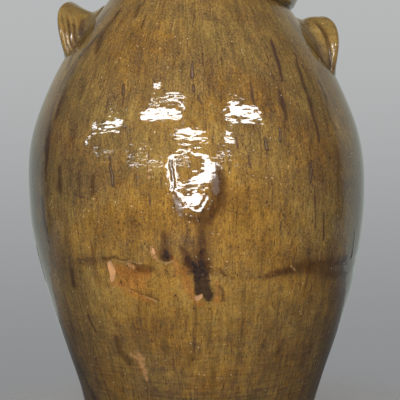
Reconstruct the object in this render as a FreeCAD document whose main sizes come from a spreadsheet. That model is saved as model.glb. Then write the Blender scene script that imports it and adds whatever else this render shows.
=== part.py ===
"""Large two-handled stoneware storage jar, thrown in two sections and luted together.

Millimetres, +Z up. The origin is the middle of the flat foot, on the jar's turning axis.
-Y is the front, and the two lug handles stand to the left (-X) and to the right (+X).
"""
import FreeCAD
import Part
import Sketcher
import os
import sys
from math import asin, atan, atan2, cos, radians, sin, sqrt, tan

Vector = FreeCAD.Vector
UP = Vector(0, 0, 1)

# Driving dimensions: name, value, what it is. Lengths are millimetres, angles degrees.
SIZES = [
    ("foot_radius", 103.0, "radius of the flat foot"),
    ("belly_radius", 170.0, "outside radius at the widest level"),
    ("belly_height", 267.0, "height of the widest level above the foot"),
    ("neck_radius", 91.0, "outside radius of the wall where the rim collar sits"),
    ("neck_rise", 186.0, "height of the collar's seat above the belly, on the axis"),
    ("flare_lean", 1.24, "lean of the straight flare, times the mean lean from foot to belly"),
    ("shoulder_lean", 1.75, "lean of the straight shoulder, times the mean from belly to neck"),
    ("neck_spare", 22.0, "extra wall thrown above the seat and cut off aslant"),
    ("wall", 9.5, "thickness of the thrown wall"),
    ("floor_thickness", 14.0, "thickness of the floor"),
    ("floor_corner", 16.0, "inside radius where the floor turns into the wall"),
    ("foot_round", 2.5, "rounded edge of the foot"),
    ("seam_drop", 72.0, "how far below the belly the two thrown sections join"),
    ("rim_tilt", 4.2, "lean of the rim collar to the right, in degrees"),
    ("rim_height", 28.0, "height of the rim collar"),
    ("rim_step", 5.5, "ledge where the collar stands out over the neck"),
    ("rim_step_height", 4.0, "height of the ledge's rounded edge over the seat"),
    ("rim_flare", 10.0, "how much further out the collar's top is than its ledge"),
    ("rim_top_width", 20.0, "width of the collar across its top"),
    ("rim_roll", 7.5, "rounding of the collar's outer and inner top edges"),
    ("handle_length", 84.0, "length of a lug handle round the shoulder"),
    ("handle_stock", 8.5, "half the thickness of the handle's clay at its crown"),
    ("handle_tip_stock", 4.8, "half the thickness where the handle's ends are pressed down"),
    ("handle_sink", 9.0, "how deep the handle's root is laid behind the wall's surface"),
    ("left_tip_rise", 131.3, "left handle: height of its pressed ends above the belly"),
    ("left_root_rise", 167.6, "left handle: height of its crown's root above the belly"),
    ("left_lip_lift", 11.8, "left handle: how much higher the crown's lip is than its root"),
    ("left_tip_stand", -0.6, "left handle: where the ends' middle stands from the wall"),
    ("left_crown_draw", 6.4, "left handle: how much nearer the axis the crown's lip is"),
    ("left_bulge", 6.0, "left handle: extra reach halfway down each side"),
    ("right_tip_rise", 118.0, "right handle: height of its pressed ends above the belly"),
    ("right_root_rise", 155.4, "right handle: height of its crown's root above the belly"),
    ("right_lip_lift", 7.9, "right handle: how much higher the crown's lip is than its root"),
    ("right_tip_stand", -0.5, "right handle: where the ends' middle stands from the wall"),
    ("right_crown_draw", 12.3, "right handle: how much nearer the axis the crown's lip is"),
    ("right_bulge", 8.6, "right handle: extra reach halfway down each side"),
]
SIZE = {name: value for name, value, note in SIZES}

# Sizes that follow from the driving ones: name, formula, what it is. A straight run leans by its
# tangent, and the curve beside it is the one that meets it smoothly and is upright at the belly.
DERIVED = [
    ("flare_slope", "flare_lean * (belly_radius - foot_radius) / belly_height",
     "tangent of the straight flare's lean from upright"),
    ("lower_curve_radius",
     "(belly_radius - foot_radius) * (flare_lean - 1) / (sqrt(1 + flare_slope ^ 2) - 1)",
     "radius of the wall's curve below the belly"),
    ("shoulder_slope", "shoulder_lean * (belly_radius - neck_radius) / neck_rise",
     "tangent of the straight shoulder's lean from upright"),
    ("shoulder_curve_radius",
     "(belly_radius - neck_radius) * (shoulder_lean - 1) / (sqrt(1 + shoulder_slope ^ 2) - 1)",
     "radius of the wall's curve above the belly"),
]

# Stations of a handle's arch, in degrees from its crown: a quarter turn to each pressed end.
HANDLE_STATIONS = (-90, -60, -30, 0, 30, 60, 90)

# Each cut, as the feature before it and the cut itself, whose volume has to be smaller.
CUTS = [
    ("upper_turning", "neck_trim"),
    ("left_slab", "left_trim"),
    ("right_slab", "right_trim"),
]

doc = FreeCAD.newDocument("stoneware_jar")


def fill_sheet():
    """The sheet that drives every sketch: names in column A, numbers in B, notes in C.

    The derived sizes are worked out by the sheet and read back for the sketches' first shapes.
    """
    sheet = doc.addObject("Spreadsheet::Sheet", "sizes")
    typed = [(name, str(value), note) for name, value, note in SIZES]
    worked_out = [(name, "=" + formula, note) for name, formula, note in DERIVED]
    for row, (name, content, note) in enumerate(typed + worked_out, start=1):
        sheet.set(f"A{row}", name)
        sheet.set(f"B{row}", content)
        sheet.set(f"C{row}", note)
        sheet.setAlias(f"B{row}", name)
    doc.recompute()
    for name, formula, note in DERIVED:
        SIZE[name] = float(getattr(sheet, name))


fill_sheet()


def cell(name):
    return f"sizes.{name}"


def new_body(label):
    body = doc.addObject("PartDesign::Body", label)
    body.Label = label
    return body


def origin_plane(body, role):
    return next(item for item in body.Origin.OriginFeatures if item.Role == role)


def new_sketch(body, name, role="XZ_Plane"):
    """A sketch on one of the body's own planes. On XZ_Plane its x is radius, its y height."""
    sketch = body.newObject("Sketcher::SketchObject", name)
    sketch.AttachmentSupport = [(origin_plane(body, role), "")]
    sketch.MapMode = "FlatFace"
    return sketch


def line(start, end):
    return Part.LineSegment(Vector(*start, 0), Vector(*end, 0))


def arc(centre, radius, start_angle, end_angle):
    """Arc that runs counter-clockwise between two angles in radians."""
    return Part.ArcOfCircle(Part.Circle(Vector(*centre, 0), UP, radius), start_angle, end_angle)


def relate(sketch, kind, *items):
    return sketch.addConstraint(Sketcher.Constraint(kind, *items))


def drive(sketch, expression, kind, *items):
    """A dimension whose value comes from an expression on the sheet."""
    index = relate(sketch, kind, *items)
    sketch.setExpression(f"Constraints[{index}]", expression)
    return index


# The numbers that a sketch gives to a curve's start, end and centre, and to its own axes.
START, END, CENTRE = range(1, 4)
HORIZONTAL_AXIS, VERTICAL_AXIS = range(-1, -3, -1)
ORIGIN = (HORIZONTAL_AXIS, START)


def join(sketch, pairs):
    """Each pair (a, b): the end of curve a is the start of curve b."""
    for first, second in pairs:
        relate(sketch, "Coincident", first, END, second, START)


def on_circle(centre, radius, angle):
    return centre[0] + radius * cos(angle), centre[1] + radius * sin(angle)


# Where the wall's curves lie, for the sketches' starting shapes: the constraints then hold them.
LOWER_CENTRE = (SIZE["belly_radius"] - SIZE["lower_curve_radius"], SIZE["belly_height"])
UPPER_CENTRE = (SIZE["belly_radius"] - SIZE["shoulder_curve_radius"], SIZE["belly_height"])
LOWER_OUTER = SIZE["lower_curve_radius"]
LOWER_INNER = LOWER_OUTER - SIZE["wall"]
UPPER_OUTER = SIZE["shoulder_curve_radius"]
UPPER_INNER = UPPER_OUTER - SIZE["wall"]
FOOT_EDGE = (SIZE["foot_radius"], 0.0)
SEAT_EDGE = (SIZE["neck_radius"], SIZE["belly_height"] + SIZE["neck_rise"])
LOWER_TANGENT = -atan(SIZE["flare_slope"])
UPPER_TANGENT = atan(SIZE["shoulder_slope"])


def seam_angle(radius):
    return -asin(SIZE["seam_drop"] / radius)


def along_shoulder(start, height):
    """Point at a height on the straight run of the shoulder that starts at a point."""
    return start[0] - (height - start[1]) * SIZE["shoulder_slope"], height


def along_lower(start, height):
    """Point at a height on the straight flare that starts at a point."""
    return start[0] + (height - start[1]) * SIZE["flare_slope"], height


def hold_lower_centre(sketch, curve):
    """Puts a curve's centre where the lower wall's curve is centred, level with the belly."""
    reach = f"{cell('lower_curve_radius')} - {cell('belly_radius')}"
    drive(sketch, reach, "DistanceX", curve, CENTRE, *ORIGIN, -LOWER_CENTRE[0])
    drive(sketch, cell("belly_height"), "DistanceY", *ORIGIN, curve, CENTRE, LOWER_CENTRE[1])


def swing_into_shoulder(sketch, lower, upper):
    """Runs the lower curve smoothly into the shoulder's, level with the belly."""
    relate(sketch, "Tangent", lower, END, upper, START)
    drive(sketch, cell("belly_height"), "DistanceY", *ORIGIN, upper, CENTRE, UPPER_CENTRE[1])
    drive(sketch, cell("shoulder_curve_radius"), "Radius", upper, UPPER_OUTER)


def revolve(body, sketch, name):
    turned = body.newObject("PartDesign::Revolution", name)
    turned.Profile = sketch
    turned.ReferenceAxis = (sketch, ["V_Axis"])
    turned.Angle = 360.0
    sketch.Visibility = False
    return turned


def round_edges(body, base, name, size, wanted):
    """Fillet on the edges of the base feature that the test picks."""
    doc.recompute()
    names = [f"Edge{i}" for i, edge in enumerate(base.Shape.Edges, start=1) if wanted(edge)]
    fillet = body.newObject("PartDesign::Fillet", name)
    fillet.Base = (base, names)
    fillet.Radius = SIZE[size]
    fillet.setExpression("Radius", cell(size))
    return fillet


def circle_at(edge, height, above_radius):
    """True for a full circle round the axis at a height, wider than a radius."""
    curve = edge.Curve
    if not isinstance(curve, Part.Circle):
        return False
    return abs(curve.Center.z - height) < 0.01 and curve.Radius > above_radius


def make_lower_wall():
    """Thrown lower section: floor, straight flare from the foot, then the lower curve."""
    body = new_body("lower_wall")
    sketch = new_sketch(body, "lower_profile")
    floor = SIZE["floor_thickness"]
    outer_touch = on_circle(LOWER_CENTRE, LOWER_OUTER, LOWER_TANGENT)
    inner_touch = on_circle(LOWER_CENTRE, LOWER_INNER, LOWER_TANGENT)
    outer_seam = on_circle(LOWER_CENTRE, LOWER_OUTER, seam_angle(LOWER_OUTER))
    inner_seam = on_circle(LOWER_CENTRE, LOWER_INNER, seam_angle(LOWER_INNER))
    inner_floor = along_lower(inner_touch, floor)
    sketch.addGeometry([
        line((0, 0), FOOT_EDGE),
        line(FOOT_EDGE, outer_touch),
        arc(LOWER_CENTRE, LOWER_OUTER, LOWER_TANGENT, seam_angle(LOWER_OUTER)),
        line(outer_seam, inner_seam),
        arc(LOWER_CENTRE, LOWER_INNER, LOWER_TANGENT, seam_angle(LOWER_INNER)),
        line(inner_touch, inner_floor),
        line(inner_floor, (0, floor)),
        line((0, floor), (0, 0)),
    ], False)
    relate(sketch, "Coincident", 0, START, *ORIGIN)
    join(sketch, [(0, 1), (2, 3), (5, 6), (6, 7), (7, 0)])
    relate(sketch, "Coincident", 3, END, 4, END)
    relate(sketch, "Tangent", 1, END, 2, START)
    relate(sketch, "Tangent", 5, START, 4, START)
    relate(sketch, "Parallel", 1, 5)
    for level in (0, 3, 6):
        relate(sketch, "Horizontal", level)
    relate(sketch, "PointOnObject", 6, END, VERTICAL_AXIS)
    hold_lower_centre(sketch, 2)
    relate(sketch, "Coincident", 2, CENTRE, 4, CENTRE)
    drive(sketch, cell("lower_curve_radius"), "Radius", 2, LOWER_OUTER)
    drive(sketch, f"{cell('lower_curve_radius')} - {cell('wall')}", "Radius", 4, LOWER_INNER)
    drive(sketch, cell("foot_radius"), "DistanceX", *ORIGIN, 0, END, SIZE["foot_radius"])
    drive(sketch, cell("floor_thickness"), "DistanceY", *ORIGIN, 6, END, floor)
    drive(sketch, cell("seam_drop"), "DistanceY", 2, END, 2, CENTRE, SIZE["seam_drop"])
    turned = revolve(body, sketch, "lower_turning")
    inside = round_edges(body, turned, "floor_fillet", "floor_corner",
                         lambda edge: circle_at(edge, floor, 1.0))
    round_edges(body, inside, "foot_fillet", "foot_round", lambda edge: circle_at(edge, 0.0, 1.0))
    return body


def outer_profile(sketch):
    """Outline of the whole jar's outer skin, closed along the axis, to cut other pieces with."""
    top = SEAT_EDGE[1] + SIZE["neck_spare"]
    outer_touch = on_circle(LOWER_CENTRE, LOWER_OUTER, LOWER_TANGENT)
    shoulder_touch = on_circle(UPPER_CENTRE, UPPER_OUTER, UPPER_TANGENT)
    neck_top = along_shoulder(shoulder_touch, top)
    sketch.addGeometry([
        line((0, 0), FOOT_EDGE),
        line(FOOT_EDGE, outer_touch),
        arc(LOWER_CENTRE, LOWER_OUTER, LOWER_TANGENT, 0.0),
        arc(UPPER_CENTRE, UPPER_OUTER, 0.0, UPPER_TANGENT),
        line(shoulder_touch, neck_top),
        line(neck_top, (0, top)),
        line((0, top), (0, 0)),
    ], False)
    relate(sketch, "Coincident", 0, START, *ORIGIN)
    join(sketch, [(0, 1), (4, 5), (5, 6), (6, 0)])
    relate(sketch, "Tangent", 1, END, 2, START)
    relate(sketch, "Tangent", 3, END, 4, START)
    relate(sketch, "Horizontal", 0)
    relate(sketch, "Horizontal", 5)
    relate(sketch, "PointOnObject", 5, END, VERTICAL_AXIS)
    hold_lower_centre(sketch, 2)
    drive(sketch, cell("lower_curve_radius"), "Radius", 2, LOWER_OUTER)
    swing_into_shoulder(sketch, 2, 3)
    drive(sketch, cell("foot_radius"), "DistanceX", *ORIGIN, 0, END, SIZE["foot_radius"])
    pass_through_seat(sketch, 4, 5)


def pass_through_seat(sketch, shoulder, level):
    """Holds the straight shoulder to the seat's edge, and its top level at the spare height."""
    mark = sketch.addGeometry(Part.Point(Vector(*SEAT_EDGE, 0)), True)
    relate(sketch, "PointOnObject", mark, START, shoulder)
    height = f"{cell('belly_height')} + {cell('neck_rise')}"
    drive(sketch, cell("neck_radius"), "DistanceX", *ORIGIN, mark, START, SEAT_EDGE[0])
    drive(sketch, height, "DistanceY", *ORIGIN, mark, START, SEAT_EDGE[1])
    drive(sketch, cell("neck_spare"), "DistanceY", mark, START, level, START, SIZE["neck_spare"])


def make_upper_wall():
    """Thrown upper section: from the join over the belly and shoulder to the aslant neck."""
    body = new_body("upper_wall")
    sketch = new_sketch(body, "upper_profile")
    top = SEAT_EDGE[1] + SIZE["neck_spare"]
    outer_seam = on_circle(LOWER_CENTRE, LOWER_OUTER, seam_angle(LOWER_OUTER))
    inner_seam = on_circle(LOWER_CENTRE, LOWER_INNER, seam_angle(LOWER_INNER))
    outer_touch = on_circle(UPPER_CENTRE, UPPER_OUTER, UPPER_TANGENT)
    inner_touch = on_circle(UPPER_CENTRE, UPPER_INNER, UPPER_TANGENT)
    outer_top = along_shoulder(outer_touch, top)
    inner_top = along_shoulder(inner_touch, top)
    sketch.addGeometry([
        arc(LOWER_CENTRE, LOWER_OUTER, seam_angle(LOWER_OUTER), 0.0),
        arc(UPPER_CENTRE, UPPER_OUTER, 0.0, UPPER_TANGENT),
        line(outer_touch, outer_top),
        line(outer_top, inner_top),
        line(inner_top, inner_touch),
        arc(UPPER_CENTRE, UPPER_INNER, 0.0, UPPER_TANGENT),
        arc(LOWER_CENTRE, LOWER_INNER, seam_angle(LOWER_INNER), 0.0),
        line(inner_seam, outer_seam),
    ], False)
    join(sketch, [(2, 3), (3, 4), (7, 0)])
    relate(sketch, "Coincident", 6, START, 7, START)
    relate(sketch, "Tangent", 1, END, 2, START)
    relate(sketch, "Tangent", 5, END, 4, END)
    relate(sketch, "Parallel", 2, 4)
    relate(sketch, "Horizontal", 3)
    relate(sketch, "Horizontal", 7)
    hold_lower_centre(sketch, 0)
    drive(sketch, cell("lower_curve_radius"), "Radius", 0, LOWER_OUTER)
    swing_into_shoulder(sketch, 0, 1)
    relate(sketch, "Coincident", 0, CENTRE, 6, CENTRE)
    relate(sketch, "Coincident", 1, CENTRE, 5, CENTRE)
    drive(sketch, f"{cell('lower_curve_radius')} - {cell('wall')}", "Radius", 6, LOWER_INNER)
    relate(sketch, "Tangent", 6, END, 5, START)
    drive(sketch, cell("seam_drop"), "DistanceY", 0, START, 0, CENTRE, SIZE["seam_drop"])
    pass_through_seat(sketch, 2, 3)
    revolve(body, sketch, "upper_turning")
    cut_neck_aslant(body)
    return body


def cut_neck_aslant(body):
    """Cuts the spare neck off along the leaning plane that the rim collar sits on."""
    sketch = new_sketch(body, "neck_cut", "XY_Plane")
    sketch.AttachmentOffset = FreeCAD.Placement(
        Vector(0, 0, SEAT_EDGE[1]), FreeCAD.Rotation(Vector(0, 1, 0), SIZE["rim_tilt"]))
    height = f"{cell('belly_height')} + {cell('neck_rise')}"
    sketch.setExpression("AttachmentOffset.Base.z", height)
    sketch.setExpression("AttachmentOffset.Rotation.Angle", cell("rim_tilt"))
    sketch.addGeometry(Part.Circle(Vector(0, 0, 0), UP, SIZE["belly_radius"]), False)
    relate(sketch, "Coincident", 0, CENTRE, *ORIGIN)
    drive(sketch, cell("belly_radius"), "Radius", 0, SIZE["belly_radius"])
    cut = body.newObject("PartDesign::Pocket", "neck_trim")
    cut.Profile = sketch
    cut.Reversed = True
    cut.Length = 2 * SIZE["neck_spare"]
    cut.setExpression("Length", f"2 * {cell('neck_spare')}")
    sketch.Visibility = False


def make_rim_collar():
    """Rolled rim collar on the aslant neck: a ledge, a flaring side and a rounded top."""
    body = new_body("rim_collar")
    sketch = new_sketch(body, "collar_profile")
    throat = SIZE["neck_radius"] - SIZE["wall"] * sqrt(1.0 + SIZE["shoulder_slope"] ** 2)
    ledge = SIZE["neck_radius"] + SIZE["rim_step"]
    outer_top = ledge + SIZE["rim_flare"]
    inner_top = outer_top - SIZE["rim_top_width"]
    step, top, roll = SIZE["rim_step_height"], SIZE["rim_height"], SIZE["rim_roll"]
    sketch.addGeometry([
        line((throat, 0), (SIZE["neck_radius"], 0)),
        line((SIZE["neck_radius"], 0), (ledge, step)),
        line((ledge, step), (outer_top, top)),
        line((outer_top, top), (inner_top, top)),
        line((inner_top, top), (throat, 0)),
    ], False)
    join(sketch, [(0, 1), (1, 2), (2, 3), (3, 4), (4, 0)])
    relate(sketch, "Horizontal", 0)
    relate(sketch, "Horizontal", 3)
    relate(sketch, "PointOnObject", 0, START, HORIZONTAL_AXIS)
    throat_size = (f"{cell('neck_radius')} - {cell('wall')}"
                   f" * sqrt(1 + {cell('shoulder_slope')} ^ 2)")
    ledge_size = f"{cell('neck_radius')} + {cell('rim_step')}"
    outer_size = f"{ledge_size} + {cell('rim_flare')}"
    drive(sketch, throat_size, "DistanceX", *ORIGIN, 0, START, throat)
    drive(sketch, cell("neck_radius"), "DistanceX", *ORIGIN, 0, END, SIZE["neck_radius"])
    drive(sketch, ledge_size, "DistanceX", *ORIGIN, 2, START, ledge)
    drive(sketch, cell("rim_step_height"), "DistanceY", *ORIGIN, 2, START, step)
    drive(sketch, outer_size, "DistanceX", *ORIGIN, 3, START, outer_top)
    drive(sketch, cell("rim_height"), "DistanceY", *ORIGIN, 3, START, top)
    drive(sketch, cell("rim_top_width"), "DistanceX", 3, END, 3, START, SIZE["rim_top_width"])
    turned = revolve(body, sketch, "collar_turning")
    round_edges(body, turned, "collar_roll", "rim_roll", lambda edge: circle_at(edge, top, 1.0))
    # An upright cone cut by a leaning plane is centred off the axis, on the low side.
    shift = f"{cell('neck_radius')} * tan({cell('rim_tilt')}) * {cell('shoulder_slope')}"
    lean = tan(radians(SIZE["rim_tilt"]))
    offset = SIZE["neck_radius"] * lean * SIZE["shoulder_slope"]
    body.Placement = FreeCAD.Placement(
        Vector(offset, 0, SEAT_EDGE[1] - offset * lean),
        FreeCAD.Rotation(Vector(0, 1, 0), SIZE["rim_tilt"]))
    height = f"{cell('belly_height')} + {cell('neck_rise')}"
    body.setExpression("Placement.Base.x", shift)
    body.setExpression("Placement.Base.z", f"{height} - {shift} * tan({cell('rim_tilt')})")
    body.setExpression("Placement.Rotation.Angle", cell("rim_tilt"))
    return body


def wall_radius(rise):
    """Outside radius of the shoulder's curve at a height above the belly."""
    curve, belly = SIZE["shoulder_curve_radius"], SIZE["belly_radius"]
    return belly - curve + sqrt(curve ** 2 - rise ** 2)


def wall_radius_text(rise):
    """The same radius as an expression on the sheet."""
    curve, belly = cell("shoulder_curve_radius"), cell("belly_radius")
    return f"({belly} - {curve} + sqrt({curve} ^ 2 - ({rise}) ^ 2))"


def blend(low, high, share):
    return low + (high - low) * share


def blend_text(low, high, share):
    return f"({low} + ({high} - {low}) * {share:.6f})"


def handle_section(body, side, number, station):
    """Slot-shaped cut square through the handle's arch at one station.

    The arch is an ellipse laid on the shoulder. The station's sine gives the place round
    the jar, and its cosine the height between the pressed ends and the crown. The cut's
    plane holds the jar's radius there and the arch's own outward direction, so its x is
    the distance from the axis and its y the distance out of the arch.
    """
    rise, run = cos(radians(station)), sin(radians(station))
    fullness = 2.0 * rise * abs(run)
    tip, root = SIZE[f"{side}_tip_rise"], SIZE[f"{side}_root_rise"]
    tip_text, root_text = cell(f"{side}_tip_rise"), cell(f"{side}_root_rise")
    middle, middle_text = blend(tip, root, rise), blend_text(tip_text, root_text, rise)
    back = wall_radius(middle) - SIZE["handle_sink"]
    back_text = f"{wall_radius_text(middle_text)} - {cell('handle_sink')}"
    front = (wall_radius(tip) + SIZE[f"{side}_tip_stand"]
             - SIZE[f"{side}_crown_draw"] * rise + SIZE[f"{side}_bulge"] * fullness)
    front_text = (f"{wall_radius_text(tip_text)} + {cell(f'{side}_tip_stand')}"
                  f" - {cell(f'{side}_crown_draw')} * {rise:.6f}"
                  f" + {cell(f'{side}_bulge')} * {fullness:.6f}")
    lift, lift_text = SIZE[f"{side}_lip_lift"] * rise, f"{cell(f'{side}_lip_lift')} * {rise:.6f}"
    stock = blend(SIZE["handle_tip_stock"], SIZE["handle_stock"], rise)
    stock_text = blend_text(cell("handle_tip_stock"), cell("handle_stock"), rise)

    sketch = new_sketch(body, f"{side}_section_{number}")
    height = f"{cell('belly_height')} + {middle_text}"
    half_turn = f"{cell('handle_length')} / 2 / {wall_radius_text(tip_text)} * 180 / pi"
    sketch.setExpression("AttachmentOffset", f"placement(vector(0; {height}; 0);"
                         f" rotation(0; {half_turn} * {run:.6f}; {-station}))")
    aim = atan2(lift, front - back)
    quarter = radians(90)
    root_end, lip_end = (back, 0.0), (front, lift)
    sketch.addGeometry([
        arc(lip_end, stock, aim - quarter, aim + quarter),
        line(on_circle(lip_end, stock, aim + quarter), on_circle(root_end, stock, aim + quarter)),
        arc(root_end, stock, aim + quarter, aim + 3 * quarter),
        line(on_circle(root_end, stock, aim - quarter), on_circle(lip_end, stock, aim - quarter)),
    ], False)
    for first, second in ((0, 1), (1, 2), (2, 3), (3, 0)):
        relate(sketch, "Tangent", first, END, second, START)
    relate(sketch, "Equal", 0, 2)
    drive(sketch, stock_text, "Radius", 0, stock)
    relate(sketch, "PointOnObject", 2, CENTRE, HORIZONTAL_AXIS)
    drive(sketch, back_text, "DistanceX", *ORIGIN, 2, CENTRE, back)
    drive(sketch, front_text, "DistanceX", *ORIGIN, 0, CENTRE, front)
    if rise > 0.001:
        drive(sketch, lift_text, "DistanceY", *ORIGIN, 0, CENTRE, lift)
    else:
        relate(sketch, "PointOnObject", 0, CENTRE, HORIZONTAL_AXIS)
    sketch.Visibility = False
    return sketch


def make_handle(side, facing):
    """Lug handle: a thick slab arched over the finger space, its ends pressed to the wall.

    It is made facing +X and turned to its side. What lies behind the jar's skin is cut away,
    so that the handle meets the wall face to face.
    """
    body = new_body(f"{side}_handle")
    sections = [handle_section(body, side, number, station)
                for number, station in enumerate(HANDLE_STATIONS, start=1)]
    loft = body.newObject("PartDesign::AdditiveLoft", f"{side}_slab")
    loft.Profile = sections[0]
    loft.Sections = sections[1:]
    loft.Ruled = False
    doc.recompute()
    skin = new_sketch(body, f"{side}_wall_skin", "YZ_Plane")
    outer_profile(skin)
    trim = body.newObject("PartDesign::Groove", f"{side}_trim")
    trim.Profile = skin
    trim.ReferenceAxis = (skin, ["V_Axis"])
    trim.Angle = 360.0
    skin.Visibility = False
    body.Placement = FreeCAD.Placement(Vector(0, 0, 0), FreeCAD.Rotation(UP, facing))
    return body


def check(pieces):
    """Stops if a feature failed, a cut took nothing off, or a shape is empty or broken."""
    failed = [item.Name for item in doc.Objects if {"Invalid", "Error"} & set(item.State)]
    if failed:
        sys.exit(f"failed features: {failed}")
    for before, after in CUTS:
        if doc.getObject(after).Shape.Volume > 0.999 * doc.getObject(before).Shape.Volume:
            sys.exit(f"cut took nothing off: {after}")
    for piece in pieces:
        shape = piece.Shape
        if shape.isNull() or not shape.isValid() or len(shape.Solids) != 1:
            sys.exit(f"bad shape: {piece.Label}")


def report(pieces):
    for piece in pieces:
        box = piece.Shape.BoundBox
        volume = piece.Shape.Volume / 1000.0
        print(f"{piece.Label:12s} {volume:8.1f} cm3  x {box.XMin:7.1f} {box.XMax:7.1f}"
              f"  y {box.YMin:7.1f} {box.YMax:7.1f}  z {box.ZMin:7.1f} {box.ZMax:7.1f}")


pieces = [make_lower_wall(), make_upper_wall()]
doc.recompute()
pieces.append(make_rim_collar())
pieces.append(make_handle("left", 180.0))
pieces.append(make_handle("right", 0.0))
doc.recompute()
check(pieces)
report(pieces)
os.makedirs("parts", exist_ok=True)
for piece in pieces:
    piece.Shape.exportStep(f"parts/{piece.Label}.step")
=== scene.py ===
# %% [markdown]
# # A large stoneware storage jar with two lug handles
# The jar was thrown in two sections that were luted together, given a rolled rim and two pulled
# handles, and dipped in a runny wood-ash glaze that fired to a glossy olive brown. This lesson
# builds it as numpy surfaces around the CAD frame, and makes the glaze out of shader nodes.
# Every size below is in millimetres, as a potter would measure it, and angles are in radians
# unless a name says degrees. One helper turns millimetres to Blender's metres.

from math import atan, pi, radians, sin, cos, sqrt, tan

import bpy
import numpy as np
from mathutils import Matrix, Vector


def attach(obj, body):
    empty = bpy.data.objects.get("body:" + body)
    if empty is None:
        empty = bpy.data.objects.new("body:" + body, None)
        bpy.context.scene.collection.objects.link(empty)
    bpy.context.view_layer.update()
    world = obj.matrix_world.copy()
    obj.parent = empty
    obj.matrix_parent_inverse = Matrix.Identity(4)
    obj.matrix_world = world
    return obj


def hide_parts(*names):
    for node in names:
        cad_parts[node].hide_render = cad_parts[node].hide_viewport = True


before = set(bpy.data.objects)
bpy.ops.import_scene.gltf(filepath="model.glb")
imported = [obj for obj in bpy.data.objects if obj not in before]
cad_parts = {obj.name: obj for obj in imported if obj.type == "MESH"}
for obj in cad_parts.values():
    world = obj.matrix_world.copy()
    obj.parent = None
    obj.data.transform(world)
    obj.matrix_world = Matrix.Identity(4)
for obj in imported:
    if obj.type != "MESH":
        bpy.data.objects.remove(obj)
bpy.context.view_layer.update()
MM = 0.001
print("CAD nodes:", sorted(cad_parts))

# %% [markdown]
# ## The jar's profile
# A thrown jar is a profile turned round an axis. This one is four runs that meet smoothly: a
# straight flare from the foot, a long curve up to the belly, a tighter curve over the shoulder,
# and a straight run in to the neck. A curve that is upright at the belly and meets a straight run
# of a given lean has only one radius, so a few measured sizes give the whole outline.

# %% Profile of the outside and of the inside
FOOT, BELLY, NECK = 103.0, 170.0, 91.0
BELLY_HEIGHT, SEAM_HEIGHT, SEAT_HEIGHT = 267.0, 195.0, 453.0
WALL, FLOOR = 9.5, 14.0
# How much steeper each straight run is than the chord from its end to the belly
FLARE_EXCESS, SHOULDER_EXCESS = 0.24, 0.75
FLARE = (1 + FLARE_EXCESS) * (BELLY - FOOT) / BELLY_HEIGHT
SHOULDER = (1 + SHOULDER_EXCESS) * (BELLY - NECK) / (SEAT_HEIGHT - BELLY_HEIGHT)
LOWER_CURVE = (BELLY - FOOT) * FLARE_EXCESS / (sqrt(1 + FLARE ** 2) - 1)
UPPER_CURVE = (BELLY - NECK) * SHOULDER_EXCESS / (sqrt(1 + SHOULDER ** 2) - 1)


def wall_radius(height, depth=0.0):
    """Radius of the wall at a height, at a depth behind its outer skin.

    Straight runs keep the depth square to their slope; each curve keeps its centre and loses
    the depth from its radius: belly - curve + sqrt((curve - depth)^2 - rise^2).
    """
    rise = np.asarray(height, float) - BELLY_HEIGHT
    lower, upper = LOWER_CURVE - depth, UPPER_CURVE - depth
    below = BELLY - LOWER_CURVE + np.sqrt(np.clip(lower ** 2 - rise ** 2, 0, None))
    above = BELLY - UPPER_CURVE + np.sqrt(np.clip(upper ** 2 - rise ** 2, 0, None))
    flare = FOOT - depth * sqrt(1 + FLARE ** 2) + (rise + BELLY_HEIGHT) * FLARE
    to_seat = SEAT_HEIGHT - BELLY_HEIGHT - rise
    lean_in = NECK - depth * sqrt(1 + SHOULDER ** 2) + to_seat * SHOULDER
    flare_top = -lower * sin(atan(FLARE))
    shoulder_start = upper * sin(atan(SHOULDER))
    return np.where(rise < flare_top, flare,
                    np.where(rise < 0, below, np.where(rise < shoulder_start, above, lean_in)))


print(f"curves: {LOWER_CURVE:.1f} and {UPPER_CURVE:.1f} mm,"
      f" belly {wall_radius(BELLY_HEIGHT):.1f} mm")

# %% [markdown]
# ## Columns round the jar
# The glaze has most of its drips and chips at the front, so the columns of the grid stand closer
# together there. A sine added to evenly spaced angles does that without a seam.

# %% Angles round the jar
FRONT = -pi / 2
CROWDING = 0.45
COLUMNS = 540

even = np.linspace(0, 2 * pi, COLUMNS, endpoint=False)
ANGLES = even - CROWDING * np.sin(even - FRONT)
from_front = (ANGLES - FRONT + pi) % (2 * pi) - pi
print(f"column width at the belly: front {BELLY * 2 * pi / COLUMNS * (1 - CROWDING):.2f} mm,"
      f" back {BELLY * 2 * pi / COLUMNS * (1 + CROWDING):.2f} mm")

# %% [markdown]
# ## Unevenness
# Nothing thrown by hand is round to a hair. Each sort of unevenness is a sum of cosine waves
# with random directions. The number of turns round the jar is whole, so the pattern closes, and
# the seed is fixed, so the jar comes out the same each time.

# %% Random waves and soft bumps


def waves(angle, height, seed, turns, length, count=24):
    """Sum of cosines cos(k angle + 2 pi height / length + phase), scaled to a spread of one.

    turns is the lowest and highest k, and length the shortest and longest wave in millimetres.
    """
    rng = np.random.default_rng(seed)
    total = 0.0
    for _ in range(count):
        around = rng.integers(turns[0], turns[1] + 1) * rng.choice((-1, 1))
        along = 2 * pi / rng.uniform(*length)
        total = total + np.cos(around * angle + along * height + rng.uniform(0, 2 * pi))
    return total / sqrt(count / 2)


def bump(value, centre, width):
    """Bell curve exp(-((value - centre) / width)^2)."""
    return np.exp(-((value - centre) / width) ** 2)


def lean(height):
    """How far the wall's rings stand to the right of the turning axis: three soft bends."""
    return (1.2 * bump(height, 178, 34) - 1.2 * bump(height, 352, 55)
            + 1.6 * bump(height, 455, 28))


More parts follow.
